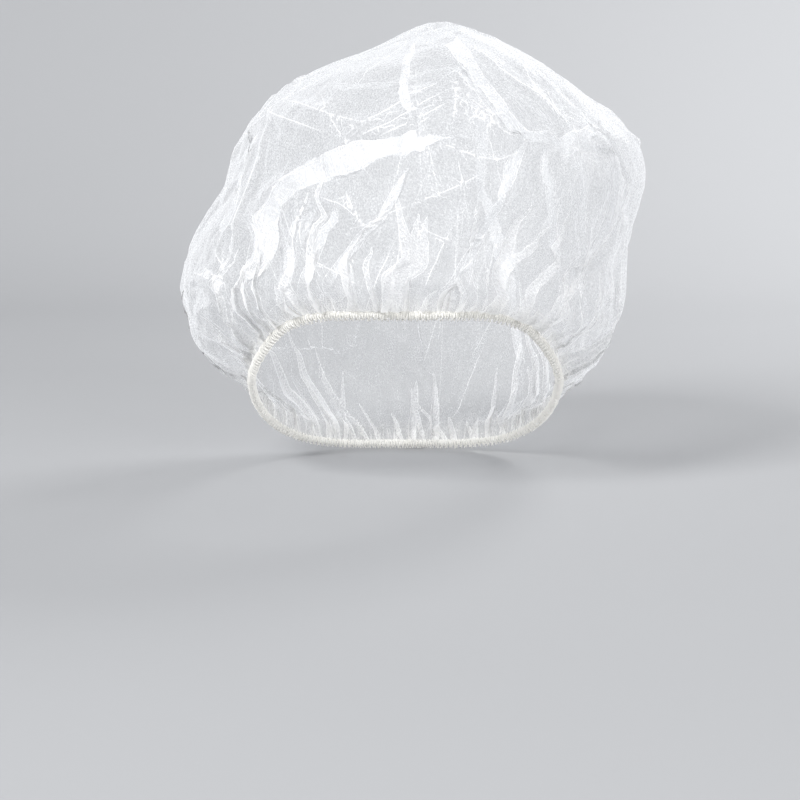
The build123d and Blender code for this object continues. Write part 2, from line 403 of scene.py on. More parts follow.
# ------------------------------------------------------------------ folds and creases
# Bands where the sheet lies three layers deep: width, then the line's x, y, z, all in mm
FOLDS = [
    (9.5, [(-90, -76, 58), (-83, -82, 73), (-76, -83, 86), (-70, -80, 102), (-59, -83, 114),
           (-46, -92, 121), (-27, -101, 129), (-4, -107, 134), (17, -109, 136)]),
    (8.5, [(26, -44, 187), (31, -68, 177), (37, -82, 166), (44, -92, 155), (50, -98, 146),
           (61, -96, 141), (73, -95, 132)]),
    (6.5, [(60, -101, 134), (50, -108, 125), (42, -114, 107), (34, -116, 92), (26, -117, 75),
           (20, -108, 60)]),
    (4.5, [(67, -101, 126), (68, -103, 110), (70, -101, 95), (72, -96, 77)]),
    (3.0, [(82, -92, 121), (85, -91, 102), (88, -83, 84), (90, -77, 69)]),
    (8.0, [(87, -61, 150), (98, -65, 137), (103, -70, 120), (104, -68, 100), (96, -73, 81),
           (85, -83, 65), (78, -83, 51)]),
    (6.0, [(96, -59, 143), (108, -55, 129), (114, -53, 112), (112, -48, 94), (103, -61, 77),
           (94, -72, 64)]),
    (8.5, [(-76, -21, 145), (-81, -32, 131), (-86, -36, 115), (-91, -48, 99), (-97, -54, 84)]),
    (5.0, [(4, -41, 185), (0, -72, 173), (-2, -91, 160), (3, -104, 146)]),
    (7.0, [(54, -100, 140), (67, -95, 138), (81, -82, 140), (95, -56, 146)]),
    (6.0, [(74, -94, 130), (90, -79, 133), (105, -62, 129)]),
    (3.8, [(-36, -92, 54), (-24, -108, 77), (-12, -111, 99), (1, -111, 124)]),
    (5.6, [(17, -96, 56), (27, -108, 74), (37, -112, 91), (49, -111, 112)]),
    (5.0, [(-47, -90, 53), (-42, -104, 76), (-33, -104, 106)]),
    (4.2, [(-61, -92, 57), (-58, -97, 74), (-51, -95, 101)]),
]
# Sharp single creases: x, y, z of each line in mm
CREASES = [
    [(-33, -95, 136), (-17, -98, 146), (-3, -97, 154), (12, -92, 162), (24, -84, 168)],
    [(24, -84, 168), (33, -90, 161), (40, -98, 150), (46, -102, 141)],
    [(-27, -99, 135), (-10, -102, 144), (4, -100, 151), (24, -91, 162)],
    [(24, -91, 162), (35, -97, 153), (45, -102, 142)],
    [(-16, -103, 137), (-1, -104, 144), (12, -102, 150), (24, -97, 156)],
    [(24, -97, 156), (35, -101, 148), (47, -102, 141)],
    [(24, -101, 150), (40, -103, 143), (56, -101, 137)],
    [(24, -79, 171), (24, -96, 157), (23, -106, 143)],
    [(8, -112, 62), (16, -118, 82), (24, -117, 99)],
    [(34, -93, 53), (35, -114, 71)],
    [(37, -93, 53), (41, -113, 76), (46, -112, 92)],
    [(54, -99, 56), (49, -110, 77), (45, -113, 94)],
    [(-10, -99, 50), (-5, -118, 76), (-3, -118, 91)],
    [(-22, -97, 50), (-16, -117, 68), (-7, -118, 87)],
    [(-3, -116, 104), (16, -117, 112), (41, -112, 123)],
    [(-43, -100, 109), (-28, -109, 105), (-19, -115, 95)],
    [(-30, -106, 113), (-19, -115, 95)],
    [(16, -110, 135), (40, -111, 126), (56, -104, 131)],
    [(-100, -50, 82), (-95, -69, 68), (-91, -74, 54)],
    [(-105, -48, 70), (-98, -67, 63), (-93, -72, 54)],
    [(-112, -35, 66), (-103, -58, 65), (-94, -72, 59)],
    [(-63, -38, 154), (-37, -85, 147), (-16, -100, 143)],
    [(-75, -18, 147), (-52, -74, 143), (-37, -91, 139)],
    [(32, -53, 183), (46, -70, 171), (56, -74, 164), (75, -74, 152), (85, -74, 143)],
    [(56, -55, 173), (68, -74, 157), (80, -80, 143)],
    [(89, -79, 71), (83, -83, 55), (77, -59, 37)],
    [(96, -69, 68), (90, -76, 54), (83, -51, 34)],
    [(103, -61, 77), (99, -64, 58), (95, -50, 36)],
    [(-89, -76, 54), (-87, -53, 37), (-84, -28, 22)],
    [(-103, -52, 47), (-96, -39, 32), (-88, -8, 15)],
]
PLEATS = 96


def crown_line(points):
    """A polyline in mm as points about 2 mm apart, laid on the crown."""
    path = np.array(points, float) * MM
    # round the corners a little
    for _ in range(2):
        cut = [path[0]]
        for start, end in zip(path[:-1], path[1:]):
            cut += [0.75 * start + 0.25 * end, 0.25 * start + 0.75 * end]
        cut.append(path[-1])
        path = np.array(cut)
    lengths = arc_lengths(path)
    count = max(3, int(lengths[-1] / (2.0 * MM)))
    path = resample(path, lengths, np.linspace(0, lengths[-1], count))
    return np.array([cast(point - CENTRE_XYZ) for point in path])


def base_line(azimuth, descent, end_azimuth, end_descent):
    """A line between two places of the base surface."""
    x = np.linspace(0, 1, 12)
    return on_base(azimuth + (end_azimuth - azimuth) * x, descent + (end_descent - descent) * x)


def beside(points, line):
    """For each point: signed distance to the line on the surface, and share along it."""
    starts, steps = line[:-1], line[1:] - line[:-1]
    middle = line.mean(0)
    near = np.where(np.linalg.norm(points - middle, axis=1)
                    < np.linalg.norm(line - middle, axis=1).max() + 0.09)[0]
    from_point = points[near][:, None, :]
    part = np.clip(((from_point - starts) * steps).sum(2) / (steps * steps).sum(1), 0, 1)
    gap = from_point - (starts + part[..., None] * steps)
    distance = np.linalg.norm(gap, axis=2)
    step = distance.argmin(1)
    row = np.arange(len(near))
    side = np.cross(steps[step], base_normals[near])
    sign = np.sign((gap[row, step] * side).sum(1))
    sign[sign == 0] = 1
    offset = np.full(len(points), FAR)
    share = np.zeros(len(points))
    offset[near] = distance[row, step] * sign
    share[near] = (step + part[row, step]) / len(starts)
    return offset, share


def fold_over(points, line, width, depth):
    """Lays the sheet three deep along a line: the sheet slides in from both sides.

    Gives the moved points, their change of height and the band field (1 on the line, 0 at the
    band's edges)."""
    reach = 0.050                       # the slide dies out over this distance
    offset, share = beside(points, line)
    taper = smoothstep(np.minimum(share, 1 - share) / 0.16) * 0.85 + 0.15
    sway = min(1.0, width / (9.0 * MM)) ** 2
    width = width * taper * (1 + sway * (0.18 * np.sin(9.0 * share + 40 * width / MM)
                                         + 0.07 * np.sin(23.0 * share + 9 * width / MM)))
    tangents = unit(np.gradient(line, axis=0))
    index = np.clip((share * (len(line) - 1)).round().astype(int), 0, len(line) - 1)
    side = unit(np.cross(tangents[index], base_normals))
    # the pull fades past the line's ends
    past_end = (np.maximum(0, ((line[0] - points) * tangents[0]).sum(1))
                + np.maximum(0, ((points - line[-1]) * tangents[-1]).sum(1)))
    fade = 1 - smoothstep(past_end / 0.020)
    away = np.abs(offset)
    slide = np.sign(offset) * width
    outer = (away > 1.5 * width) & (away < 1.5 * width + reach)
    folded = np.where(away <= 1.5 * width, offset - slide, offset)
    folded = np.where(away <= 0.5 * width, -offset, folded)
    folded = np.where(outer, offset - slide * (1 - smoothstep((away - 1.5 * width) / reach)),
                      folded)
    shift = (folded - offset) * fade
    lift = (np.clip(offset / width, -1, 1)
            * (1 - smoothstep((away - 1.4 * width) / (1.6 * width + TINY))) * fade)
    active = np.abs(shift) > TINY
    moved = points.copy()
    moved[active] += side[active] * shift[active, None]
    for i in np.where(active & (radii < SHEET_RADIUS - 14))[0]:
        moved[i] = cast(moved[i] - CENTRE_XYZ)
    hold = smoothstep((SHEET_RADIUS - 6 - radii) / 26.0)
    band = np.where((away < 2.6 * width) & (fade > 0.5),
                    1 - np.abs(folded) / (0.5 * width + TINY), OUTSIDE)
    return points + (moved - points) * hold[:, None], lift * depth * hold, band


def lay_folds():
    """Folds the base sheet: points, heights and the fold field."""
    points, height = base, np.zeros(len(base))
    fold = np.full(len(base), OUTSIDE)

    def add(line, width, depth):
        nonlocal points, height, fold
        points, raised, band = fold_over(points, line, width, depth)
        height = height + raised
        fold = np.maximum(fold, band)

    for width, line in FOLDS:
        add(crown_line(line), width * MM, -0.8 * MM)
    # random folds of the nape half
    for _ in range(9):
        azimuth = RNG.uniform(0.04, 0.47)
        descent = RNG.uniform(0.25, 0.75)
        line = base_line(azimuth, descent, azimuth + RNG.uniform(-0.05, 0.05),
                         descent + RNG.uniform(0.22, 0.45) * RNG.choice([-1, 1]))
        add(line, RNG.uniform(4, 8.5) * MM, 1.1 * MM)
    return points, height, fold


def press_creases(points, height):
    """Adds single creases: heights, signed distance to the nearest crease and its weight."""
    distance = np.full(len(points), 1.0)
    weights = np.zeros(len(points))

    def add(line, amplitude, width, weight=1.0):
        nonlocal height, distance, weights
        offset, share = beside(points, line)
        envelope = smoothstep(np.minimum(share, 1 - share) / 0.25)
        past_end = (share <= 0) | (share >= 1)
        tent = np.clip(1 - np.abs(offset) / width, 0, 1)
        height = height + np.where(past_end, 0, amplitude * tent * (0.35 + 0.65 * envelope))
        closer = (np.abs(offset) < np.abs(distance)) & ~past_end
        distance = np.where(closer, offset, distance)
        weights = np.where(closer, envelope * weight, weights)

    for line in CREASES:
        add(crown_line(line), RNG.uniform(1.4, 2.6) * MM, RNG.uniform(5, 9) * MM)
    # straight crumple lines all over, most of them running up the crown
    for _ in range(120):
        azimuth, descent = RNG.uniform(0, 1), RNG.uniform(0.06, 1.0) ** 0.6
        across = RNG.random() < 0.25
        angle = RNG.normal(0, 0.5) if across else RNG.normal(math.pi / 2, 0.30)
        length = RNG.uniform(0.06, 0.24) * (0.5 if across else 1.0)
        turn = math.cos(angle) * length * 0.28 / max(descent, 0.25)
        drop = math.sin(angle) * length
        line = base_line(azimuth - turn, np.clip(descent - drop, 0.02, 0.99),
                         azimuth + turn, np.clip(descent + drop, 0.02, 0.99))
        big = RNG.random() < 0.35
        add(line,
            amplitude=RNG.choice([-1, 1]) * RNG.uniform(*((2.2, 4.4) if big else (0.8, 1.9))) * MM,
            width=RNG.uniform(*((14, 28) if big else (5, 11))) * MM,
            weight=RNG.uniform(0.25, 0.8))
    return height, distance, weights


def raise_pleats(rise):
    """Slender three-sided pleats that rise from the hem: height, sideways lean, pleat field."""
    height, lean = np.zeros(len(rise)), np.zeros(len(rise))
    pleat = np.full(len(rise), OUTSIDE)
    centres = (np.arange(PLEATS) + RNG.uniform(-0.45, 0.45, PLEATS)) / PLEATS
    for centre in centres:
        half = RNG.uniform(0.9, 2.3) * MM / RIM_LENGTH
        reach = RNG.choice([RNG.uniform(13, 30), RNG.uniform(34, 92)], p=[0.52, 0.48])
        # most tilt to a rising share, which at the brow is up and to +X
        tilt = RNG.normal(0.15, 0.20) * MM / RIM_LENGTH
        amplitude = (RNG.uniform(1.8, 3.6) * MM * (1.2 if reach > 32 else 1.0)
                     * RNG.choice([1, -0.8], p=[0.68, 0.32]))
        over = RNG.choice([1, -1], p=[0.7, 0.3]) * RNG.uniform(0.5, 1.0)
        offset = np.mod(azimuths - centre - tilt * rise + 0.5, 1.0) - 0.5
        width = (half * (1.0 + 1.0 * np.clip(rise / 22.0, 0, 1.2))
                 * np.clip(1.05 - rise / reach, 0.04, 1))
        field = np.where(rise < reach, 1 - np.abs(offset) / width, OUTSIDE)
        share = np.clip(field, 0, 1) * np.clip(1.15 - rise / reach, 0, 1)
        height += amplitude * share
        lean += np.abs(amplitude) * over * share
        pleat = np.maximum(pleat, field)
    return height, lean, pleat


def soften(values, faces, times):
    """Long waves of a field on the net: its average over neighbours, many times."""
    edges = np.concatenate([faces[:, [0, 1]], faces[:, [1, 2]], faces[:, [2, 0]]])
    first, second = edges.T
    count = len(values)
    degree = np.bincount(edges.ravel(), minlength=count).astype(float)[:, None]
    for _ in range(times):
        total = np.stack([np.bincount(first, column[second], count)
                          + np.bincount(second, column[first], count) for column in values.T], 1)
        values = 0.35 * values + 0.65 * total / degree
    return values


def shape_sheet():
    """The worn sheet's points and the fields its material reads."""
    points, height, fold = lay_folds()
    height, crease_distance, crease_weight = press_creases(points, height)
    rise = SHEET_RADIUS - radii                 # mm of sheet above the hem
    grow = smoothstep((rise - 0.3) / 4.0)       # flat where the hem holds it
    pleat_height, lean, pleat = raise_pleats(rise)
    height = height + pleat_height * grow
    # short ripples right above the hem
    samples = 600
    ripple = np.interp(np.mod(azimuths, 1), np.arange(samples + 1) / samples,
                       np.append(value_noise(samples, 300), 0))
    height = height + (ripple * 1.5 * MM * smoothstep(rise / 3.0)
                       * np.clip(1 - rise / 22.0, 0, 1))
    # long waves go, so that the outline stays
    height = height - (0.85 * soften(height[:, None], tris, 60)[:, 0]
                       * smoothstep((rise - 10) / 30.0))
    points = points + base_normals * (height * smoothstep((rise + 0.5) / 3.5))[:, None]
    # the pleats' tops lie over to one side, so that they overlap the sheet beside them
    tangent = rim_frame(azimuths)[1]
    points = points + tangent * (lean * grow * 1.1)[:, None]
    return points, fold, pleat, crease_distance, crease_weight, rise


def drape(points):
    """Cloth lets the sheet grow by a few per cent inside its own outline, so that it buckles.

    It runs on the coarse net, and only its short waves go back to the fine one."""
    count = len(net_places)
    start = points[:count]
    ob = new_mesh("cloth_net", start, net_tris)
    hold = ob.vertex_groups.new(name="hold")
    climb = SHEET_RADIUS - net_places[:, 1]
    for i, weight in enumerate(np.maximum(np.clip(1 - (climb - 3.0) / 8.0, 0, 1), 0.05)):
        hold.add([i], float(weight), "REPLACE")
    cloth = ob.modifiers.new("cloth", "CLOTH")
    settings = dict(
        quality=6, mass=0.05, air_damping=1.5,
        tension_stiffness=25, compression_stiffness=25, shear_stiffness=10,
        bending_stiffness=0.02, tension_damping=5, compression_damping=5, shear_damping=5,
        bending_damping=0.3, vertex_group_mass="hold", pin_stiffness=1.5,
        shrink_min=-0.08, shrink_max=-0.08)
    for name, value in settings.items():
        setattr(cloth.settings, name, value)
    cloth.settings.effector_weights.gravity = 0
    cloth.collision_settings.use_collision = False
    cloth.collision_settings.use_self_collision = False
    cloth.point_cache.frame_start = 1
    cloth.point_cache.frame_end = 30
    for number in range(1, 27):
        scene.frame_set(number)
    graph = bpy.context.evaluated_depsgraph_get()
    mesh = bpy.data.meshes.new_from_object(ob.evaluated_get(graph), depsgraph=graph,
                                           preserve_all_data_layers=True)
    ob.modifiers.clear()
    scene.frame_set(1)
    draped = np.zeros(count * 3)
    mesh.vertices.foreach_get("co", draped)
    bpy.data.objects.remove(ob)
    move = draped.reshape(-1, 3) - start
    move = move - soften(move, net_tris, 26)
    size = np.linalg.norm(move, axis=1)
    move *= 0.65 * np.minimum(1, 3.2 * MM / np.maximum(size, 1e-9))[:, None]
    middles = (move[mid_pairs[:, 0]] + move[mid_pairs[:, 1]]) / 2
    return points + np.concatenate([move, middles])


def build_sheet():
    points, fold, pleat, crease_distance, crease_weight, rise = shape_sheet()
    points = drape(points)
    ob = new_mesh("crown_sheet", points, tris)
    # only points close to a crease carry its line, so none appears where two creases' areas meet
    closeness = np.clip((3.4 * MM - np.abs(crease_distance)) / (1.0 * MM), 0, 1)
    set_attributes(
        ob, flat=in_plane(*on_disc(azimuths, radii)), fold=fold, pleat=pleat,
        crease_d=np.clip(crease_distance / MM, -30, 30), crease_w=crease_weight * closeness,
        rise=rise, polar=in_plane(azimuths * RIM_LENGTH / MM, rise), lie=base_normals)
    ob.data.set_sharp_from_angle(angle=math.radians(38))
    return ob


# ------------------------------------------------------------------ the hem and its threads
def circle(sides):
    return np.arange(sides) / sides * 2 * math.pi


def around(side, third, angles):
    """Directions at angles (sides,) or (1, sides) in planes of two axes (n, 3)."""
    return (np.cos(angles)[None, :, None] * side[:, None, :]
            + np.sin(angles)[None, :, None] * third[:, None, :])


def tube(name, centre, side, third, radius, closed=True):
    """A tube round a centre line (n, 3) with radii (n, sides); an open one gets end caps."""
    count, sides = radius.shape
    verts = (centre[:, None, :] + radius[..., None] * around(side, third, circle(sides)))
    rings = count if closed else count - 1
    i = np.arange(rings)[:, None] * sides
    after = ((np.arange(rings) + 1) % count)[:, None] * sides
    j = np.arange(sides)[None, :]
    beyond = (j + 1) % sides
    faces = list(np.stack([i + j, after + j, after + beyond, i + beyond], -1).reshape(-1, 4))
    if not closed:
        faces.append(range(sides)[::-1])
        faces.append(range((count - 1) * sides, count * sides))
    return new_mesh(name, verts.reshape(-1, 3), faces)


def thread_tube(name, path, radius, closed=True):
    """A yarn along a path of points (n, 3)."""
    count, sides = len(path), 5
    if closed:
        tangent = unit(np.roll(path, -1, 0) - np.roll(path, 1, 0))
    else:
        tangent = unit(np.gradient(path, axis=0))
    # carry a side vector along the path
    side = np.zeros_like(path)
    carried = unit(np.cross(tangent[0], [0.3, 0.2, 1.0]))
    for i in range(count):
        carried = unit(carried - tangent[i] * (carried @ tangent[i]))
        side[i] = carried
    third = np.cross(tangent, side)
    if closed:
        # undo the twist left over at the join
        carried = side[-1] - tangent[0] * (side[-1] @ tangent[0])
        twist = math.atan2(carried @ third[0], carried @ side[0])
        turn = (-twist * np.arange(count) / count)[:, None]
        side, third = (side * np.cos(turn) + third * np.sin(turn),
                       third * np.cos(turn) - side * np.sin(turn))
    ob = tube(name, path, side, third, np.full((count, sides), radius), closed)
    set_attributes(ob, flat=in_plane(np.repeat(arc_lengths(path) / MM, sides),
                                     np.tile(circle(sides), count)))
    return ob


def build_hem():
    """The rolled gathered edge."""
    count, sides = 1500, 16
    share = np.arange(count) / count
    rim, _, out, up = rim_frame(share)
    angles = circle(sides)
    # gathers pinch the roll
    pinch = value_noise(count, 250)
    fine = value_noise(count, 520)
    wide = value_noise(count, 90)
    twist = value_noise(count, 140) * 0.5
    radius = np.empty((count, sides))
    for k in range(sides):
        shifted = np.roll(pinch, int(4 * math.sin(angles[k])))
        radius[:, k] = HEM_RADIUS * (0.86 + 0.24 * np.abs(shifted) + 0.07 * fine + 0.10 * wide
                                     + 0.05 * np.sin(angles[k] * 2 + 3 * twist))
    wobble = value_noise(count, 60)[:, None] * 0.25 * MM
    sway = value_noise(count, 170)[:, None] * 0.22 * MM
    ob = tube("hem_roll", rim + up * wobble + out * sway, out, up, radius)
    total = count * sides
    along = share * RIM_LENGTH / MM
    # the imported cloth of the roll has 2.6 mm of sheet per mm of hem, and no folds or creases
    set_attributes(
        ob, flat=in_plane(np.repeat(along * 2.6, sides), np.tile(angles * HEM_RADIUS / MM, count)),
        fold=np.full(total, OUTSIDE), pleat=np.full(total, OUTSIDE),
        crease_d=np.full(total, 9.0), crease_w=np.zeros(total), rise=np.zeros(total),
        polar=in_plane(np.repeat(along, sides), np.zeros(total)),
        lie=around(out, up, angles).reshape(-1, 3))
    return ob


def build_cord():
    """The braided elastic cord inside the hem."""
    count, sides = 900, 10
    share = np.arange(count) / count
    rim, _, out, up = rim_frame(share)
    angles = circle(sides)
    along = share * RIM_LENGTH / MM
    wind = along[:, None] * math.pi / 1.1
    braid = (0.04 * np.abs(np.sin(wind + angles[None, :]))
             + 0.04 * np.abs(np.sin(wind - angles[None, :])))
    ob = tube("elastic_cord", rim, out, up, CORD_RADIUS * (0.90 + braid))
    set_attributes(ob, flat=in_plane(np.repeat(along, sides), np.tile(angles, count)))
    return ob


def round_rim(share, angle, radius):
    """Points at an angle (0 outward, 90 degrees up) and radius round the hem line; tangents."""
    rim, tangent, out, up = rim_frame(share)
    return rim + radius[:, None] * (np.cos(angle)[:, None] * out
                                    + np.sin(angle)[:, None] * up), tangent


def looper(name, start_angle, end_angle, phase, seed, radius):
    """A looper thread: zigzags over the roll between two angles, in degrees."""
    rng = np.random.default_rng(seed)
    per_stitch = 22
    k = np.arange(STITCHES * per_stitch)
    stitch = k // per_stitch
    part = (k % per_stitch) / per_stitch
    jitter = rng.uniform(-0.12, 0.12, STITCHES + 1)
    jitter[-1] = jitter[0]
    share = (stitch + part + phase + jitter[stitch] * (1 - part)
             + jitter[stitch + 1] * part) / STITCHES
    wave = np.clip((0.5 - 0.5 * np.cos(2 * math.pi * part)) * 1.08 - 0.04, 0, 1)
    overshoot = rng.uniform(-6, 6, STITCHES)[stitch]
    angle = np.radians(start_angle + (end_angle + overshoot - start_angle) * wave)
    lumps = np.append(rng.uniform(-0.16, 0.30, 210), 0.0)
    lump = np.interp(share % 1, np.linspace(0, 1, 211), lumps) * MM
    # at the far turning points the thread bulges out into a small loop
    bulge = (rng.uniform(0.35, 0.95, STITCHES)[stitch] * MM
             * np.exp(-((wave - 1) / 0.16) ** 2))
    swing = 0.28 * MM * np.sin(2 * math.pi * part) * np.exp(-((wave - 1) / 0.25) ** 2)
    path, tangent = round_rim(share, angle, LOOP_RADIUS + lump + bulge)
    return thread_tube(name, path + swing[:, None] * tangent, radius)


def build_needle_thread():
    """The needle thread: a line on the roll that dips once in each stitch."""
    rng = np.random.default_rng(77)
    per_stitch = 8
    count = STITCHES * per_stitch
    k = np.arange(count)
    part = (k % per_stitch) / per_stitch
    angle = math.radians(57) + 0.05 * np.repeat(rng.uniform(-1, 1, STITCHES), per_stitch)
    radius = LOOP_RADIUS + 0.08 * MM - 0.42 * MM * np.exp(-((part - 0.5) / 0.16) ** 2)
    path, _ = round_rim(k / count, angle, radius)
    return thread_tube("needle_thread", path, 0.22 * MM)


def build_seam_tail():
    """Three strands twisted together, along the CAD tail's box from its top to its bottom."""
    low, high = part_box("seam_tail")
    margin_x, margin = 0.0003, 0.0007
    x = np.linspace(0, 1, 140)
    core = np.stack([low.x + margin_x + (high.x - low.x - 2 * margin_x) * x,
                     low.y + margin + (high.y - low.y - 2 * margin) * x ** 1.7,
                     high.z - margin - (high.z - low.z - 2 * margin) * (0.5 * x + 0.5 * x ** 3)],
                    1)
    strands = []
    for phase in (0.0, 2.1, 4.2):
        turn = x * 2 * math.pi * 7 + phase
        twist = np.stack([0.25 * np.sin(2 * turn), np.cos(turn), np.sin(turn)], 1)
        strands.append(thread_tube("tail_strand", core + 0.42 * MM * twist, 0.27 * MM,
                                   closed=False))
    for ob in bpy.context.view_layer.objects:
        ob.select_set(ob in strands)
    bpy.context.view_layer.objects.active = strands[0]
    bpy.ops.object.join()
    strands[0].name = "seam_tail_chain"
    return strands[0]


sheet = build_sheet()
hem = build_hem()
cord = build_cord()
upper = looper("upper_looper_thread", start_angle=52, end_angle=-96, phase=0.0, seed=5,
               radius=0.30 * MM)
lower = looper("lower_looper_thread", start_angle=128, end_angle=262, phase=0.5, seed=6,
               radius=0.28 * MM)
needle = build_needle_thread()
tail = build_seam_tail()


# ------------------------------------------------------------------ materials
class Shader:
    """Short calls for building a material's node tree. Values may be numbers or sockets."""

    def __init__(self, name):
        self.material = bpy.data.materials.new(name)
        self.material.use_nodes = True
        self.tree = self.material.node_tree
        self.tree.nodes.clear()

    def node(self, kind, inputs, **props):
        node = self.tree.nodes.new(kind)
        for name, value in props.items():
            setattr(node, name, value)
        for key, value in inputs.items():
            if isinstance(value, bpy.types.NodeSocket):
                self.tree.links.new(value, node.inputs[key])
            else:
                node.inputs[key].default_value = value
        return node

    def math(self, operation, first, second=0.0, third=None, clamp=False):
        inputs = {0: first, 1: second}
        if third is not None:
            inputs[2] = third
        return self.node("ShaderNodeMath", inputs, operation=operation,
                         use_clamp=clamp).outputs[0]

    def add_scaled(self, total, *terms):
        """The total plus each (value, weight) of the terms."""
        for value, weight in terms:
            total = self.math("MULTIPLY_ADD", value, weight, total)
        return total

    def off(self, value, level):
        """Distance of a value from a level."""
        return self.math("ABSOLUTE", self.math("SUBTRACT", value, level))

    def vector_math(self, operation, inputs, output=0):
        return self.node("ShaderNodeVectorMath", inputs, operation=operation).outputs[output]

    def attribute(self, name, output="Fac"):
        return self.node("ShaderNodeAttribute", {}, attribute_name=name).outputs[output]

    def noise(self, vector, scale, detail=2.0, roughness=0.5, distortion=0.0, output="Fac"):
        return self.node("ShaderNodeTexNoise", {
            "Vector": vector, "Scale": scale, "Detail": detail, "Roughness": roughness,
            "Distortion": distortion}, noise_dimensions="2D").outputs[output]

    def mapping(self, vector, scale, angle=0.0, shift=(0, 0, 0)):
        return self.node("ShaderNodeMapping", {
            "Vector": vector, "Scale": scale, "Rotation": (0, 0, angle),
            "Location": shift}).outputs[0]

    def ramp(self, value, zero, one):
        """A smooth step that is 0 at one value and 1 at the other."""
        return self.node("ShaderNodeMapRange", {
            "Value": value, "From Min": zero, "From Max": one},
            interpolation_type="SMOOTHSTEP").outputs[0]

    def mix_color(self, amount, low, high):
        """Mixes two colours, each a socket or an RGB triple."""
        low, high = [c if isinstance(c, bpy.types.NodeSocket) else (*c, 1) for c in (low, high)]
        return self.node("ShaderNodeMix", {0: amount, 6: low, 7: high},
                         data_type="RGBA").outputs[2]

    def mix_shader(self, amount, low, high):
        return self.node("ShaderNodeMixShader", {0: amount, 1: low, 2: high}).outputs[0]

    def bump(self, height, strength, distance, **more):
        return self.node("ShaderNodeBump", {
            "Strength": strength, "Distance": distance, "Height": height, **more}).outputs[0]

    def finish(self, surface):
        self.node("ShaderNodeOutputMaterial", {"Surface": surface})
        return self.material


def fibres(shader, flat):
    """Filaments: stretched noise in three turned directions, thinned to lines."""
    count, line_width = 3, 0.050
    bend = shader.noise(flat, scale=0.055, output="Color")
    warped = shader.vector_math("MULTIPLY_ADD", {0: bend, 1: (13, 13, 0), 2: flat})
    total = None
    for i in range(count):
        turned = shader.mapping(warped, (1, 1, 1), angle=math.pi * (i + 0.37 * (i % 2)) / count,
                                shift=(17.3 * i, 9.1 * i, 5.7 * i))
        stretched = shader.mapping(turned, (0.95, 0.20, 1))
        noise = shader.noise(stretched, scale=1.0, detail=1.0, roughness=0.4)
        line = shader.ramp(shader.off(noise, 0.5), zero=line_width, one=line_width * 0.25)
        total = line if total is None else shader.math("MAXIMUM", total, line)
    return total


def packing(shader, cloud, band_in, pleat_in, near_hem, is_hem):
    """0 on a single flat layer, 1 where the sheet is packed, turned or lies over itself."""
    ramp = shader.ramp
    crease = shader.math("ABSOLUTE", shader.attribute("crease_d"))
    weight = shader.attribute("crease_w")
    line = shader.math("MULTIPLY", ramp(crease, zero=0.55, one=0.10), weight)
    halo = shader.math("MULTIPLY", ramp(crease, zero=3.4, one=0.3), weight)
    band_edge = ramp(shader.off(shader.attribute("fold"), 0.06), zero=0.13, one=0.02)
    band_weight = shader.math("MULTIPLY_ADD", ramp(cloud, zero=0.30, one=0.70), 0.24, 0.06)
    pleat = shader.attribute("pleat")
    pleat_edge = ramp(shader.off(pleat, 0.12), zero=0.20, one=0.03)
    pleat_top = ramp(pleat, zero=0.80, one=0.97)
    # streaks that run up from the hem
    upright = shader.mapping(shader.attribute("polar", "Vector"), (0.62, 0.055, 1))
    streak = ramp(shader.noise(upright, scale=1.0, roughness=0.6), zero=0.44, one=0.60)
    streaks = shader.math("MULTIPLY", streak, near_hem)
    dense = shader.add_scaled(
        shader.math("MULTIPLY", line, 0.85), (halo, 0.10), (band_in, band_weight),
        (band_edge, 0.45), (pleat_in, 0.46), (pleat_edge, 0.42), (pleat_top, 0.40),
        (streaks, 0.34))
    if is_hem:
        dense = shader.math("ADD", dense, 0.60)
    return shader.math("MINIMUM", dense, 1.0)


def sheet_alpha(shader, cloud, specks, filaments, dense, near_hem, cosine):
    """How much of the light the sheet stops, more where it is seen edge on."""
    one_layer = shader.math("MULTIPLY_ADD", shader.ramp(cloud, zero=0.34, one=0.68), 0.08, 0.08)
    stopped = shader.add_scaled(one_layer, (specks, 0.25), (filaments, 0.11), (dense, 0.58),
                                (near_hem, 0.05))
    stopped = shader.math("MINIMUM", shader.math("MAXIMUM", stopped, 0.05), 0.97)
    facing = shader.math("MAXIMUM", shader.math("ABSOLUTE", cosine), 0.28)
    through = shader.math("POWER", shader.math("SUBTRACT", 1.0, stopped),
                          shader.math("DIVIDE", 1.0, facing))
    return shader.math("SUBTRACT", 1.0, through, clamp=True)


def sheet_color(shader, specks, dense, is_hem):
    """Painted light: lighter where the sheet is packed, folded or creased, for light scattered in
    the stacked layers. Lighter at grain specks, a touch greyer between, warmer close to the hem; on
    the hem a darker tone, painted shade between its threads.
    """
    # the packing term lifts the colour: painted light for the light scattered in stacked, folded
    # and creased layers; the grain specks are the sheet's own tone
    specks_and_painted_light = shader.math("MULTIPLY_ADD", specks, 0.40, shader.math("MULTIPLY", dense, 0.75),
                        clamp=True)
    cool = shader.mix_color(specks_and_painted_light, (0.84, 0.85, 0.865), (0.985, 0.985, 0.985))
    # on the hem the darker tone is painted shade in the gaps between the overlock threads; on the
    # sheet it is the warm tone near the hem
    thin_tone_and_hem_shade = (0.72, 0.715, 0.685) if is_hem else (0.90, 0.897, 0.885)
    warm = shader.mix_color(specks_and_painted_light, thin_tone_and_hem_shade, (0.98, 0.977, 0.96))
    return shader.mix_color(shader.ramp(shader.attribute("rise"), zero=16.0, one=0.0), cool, warm)


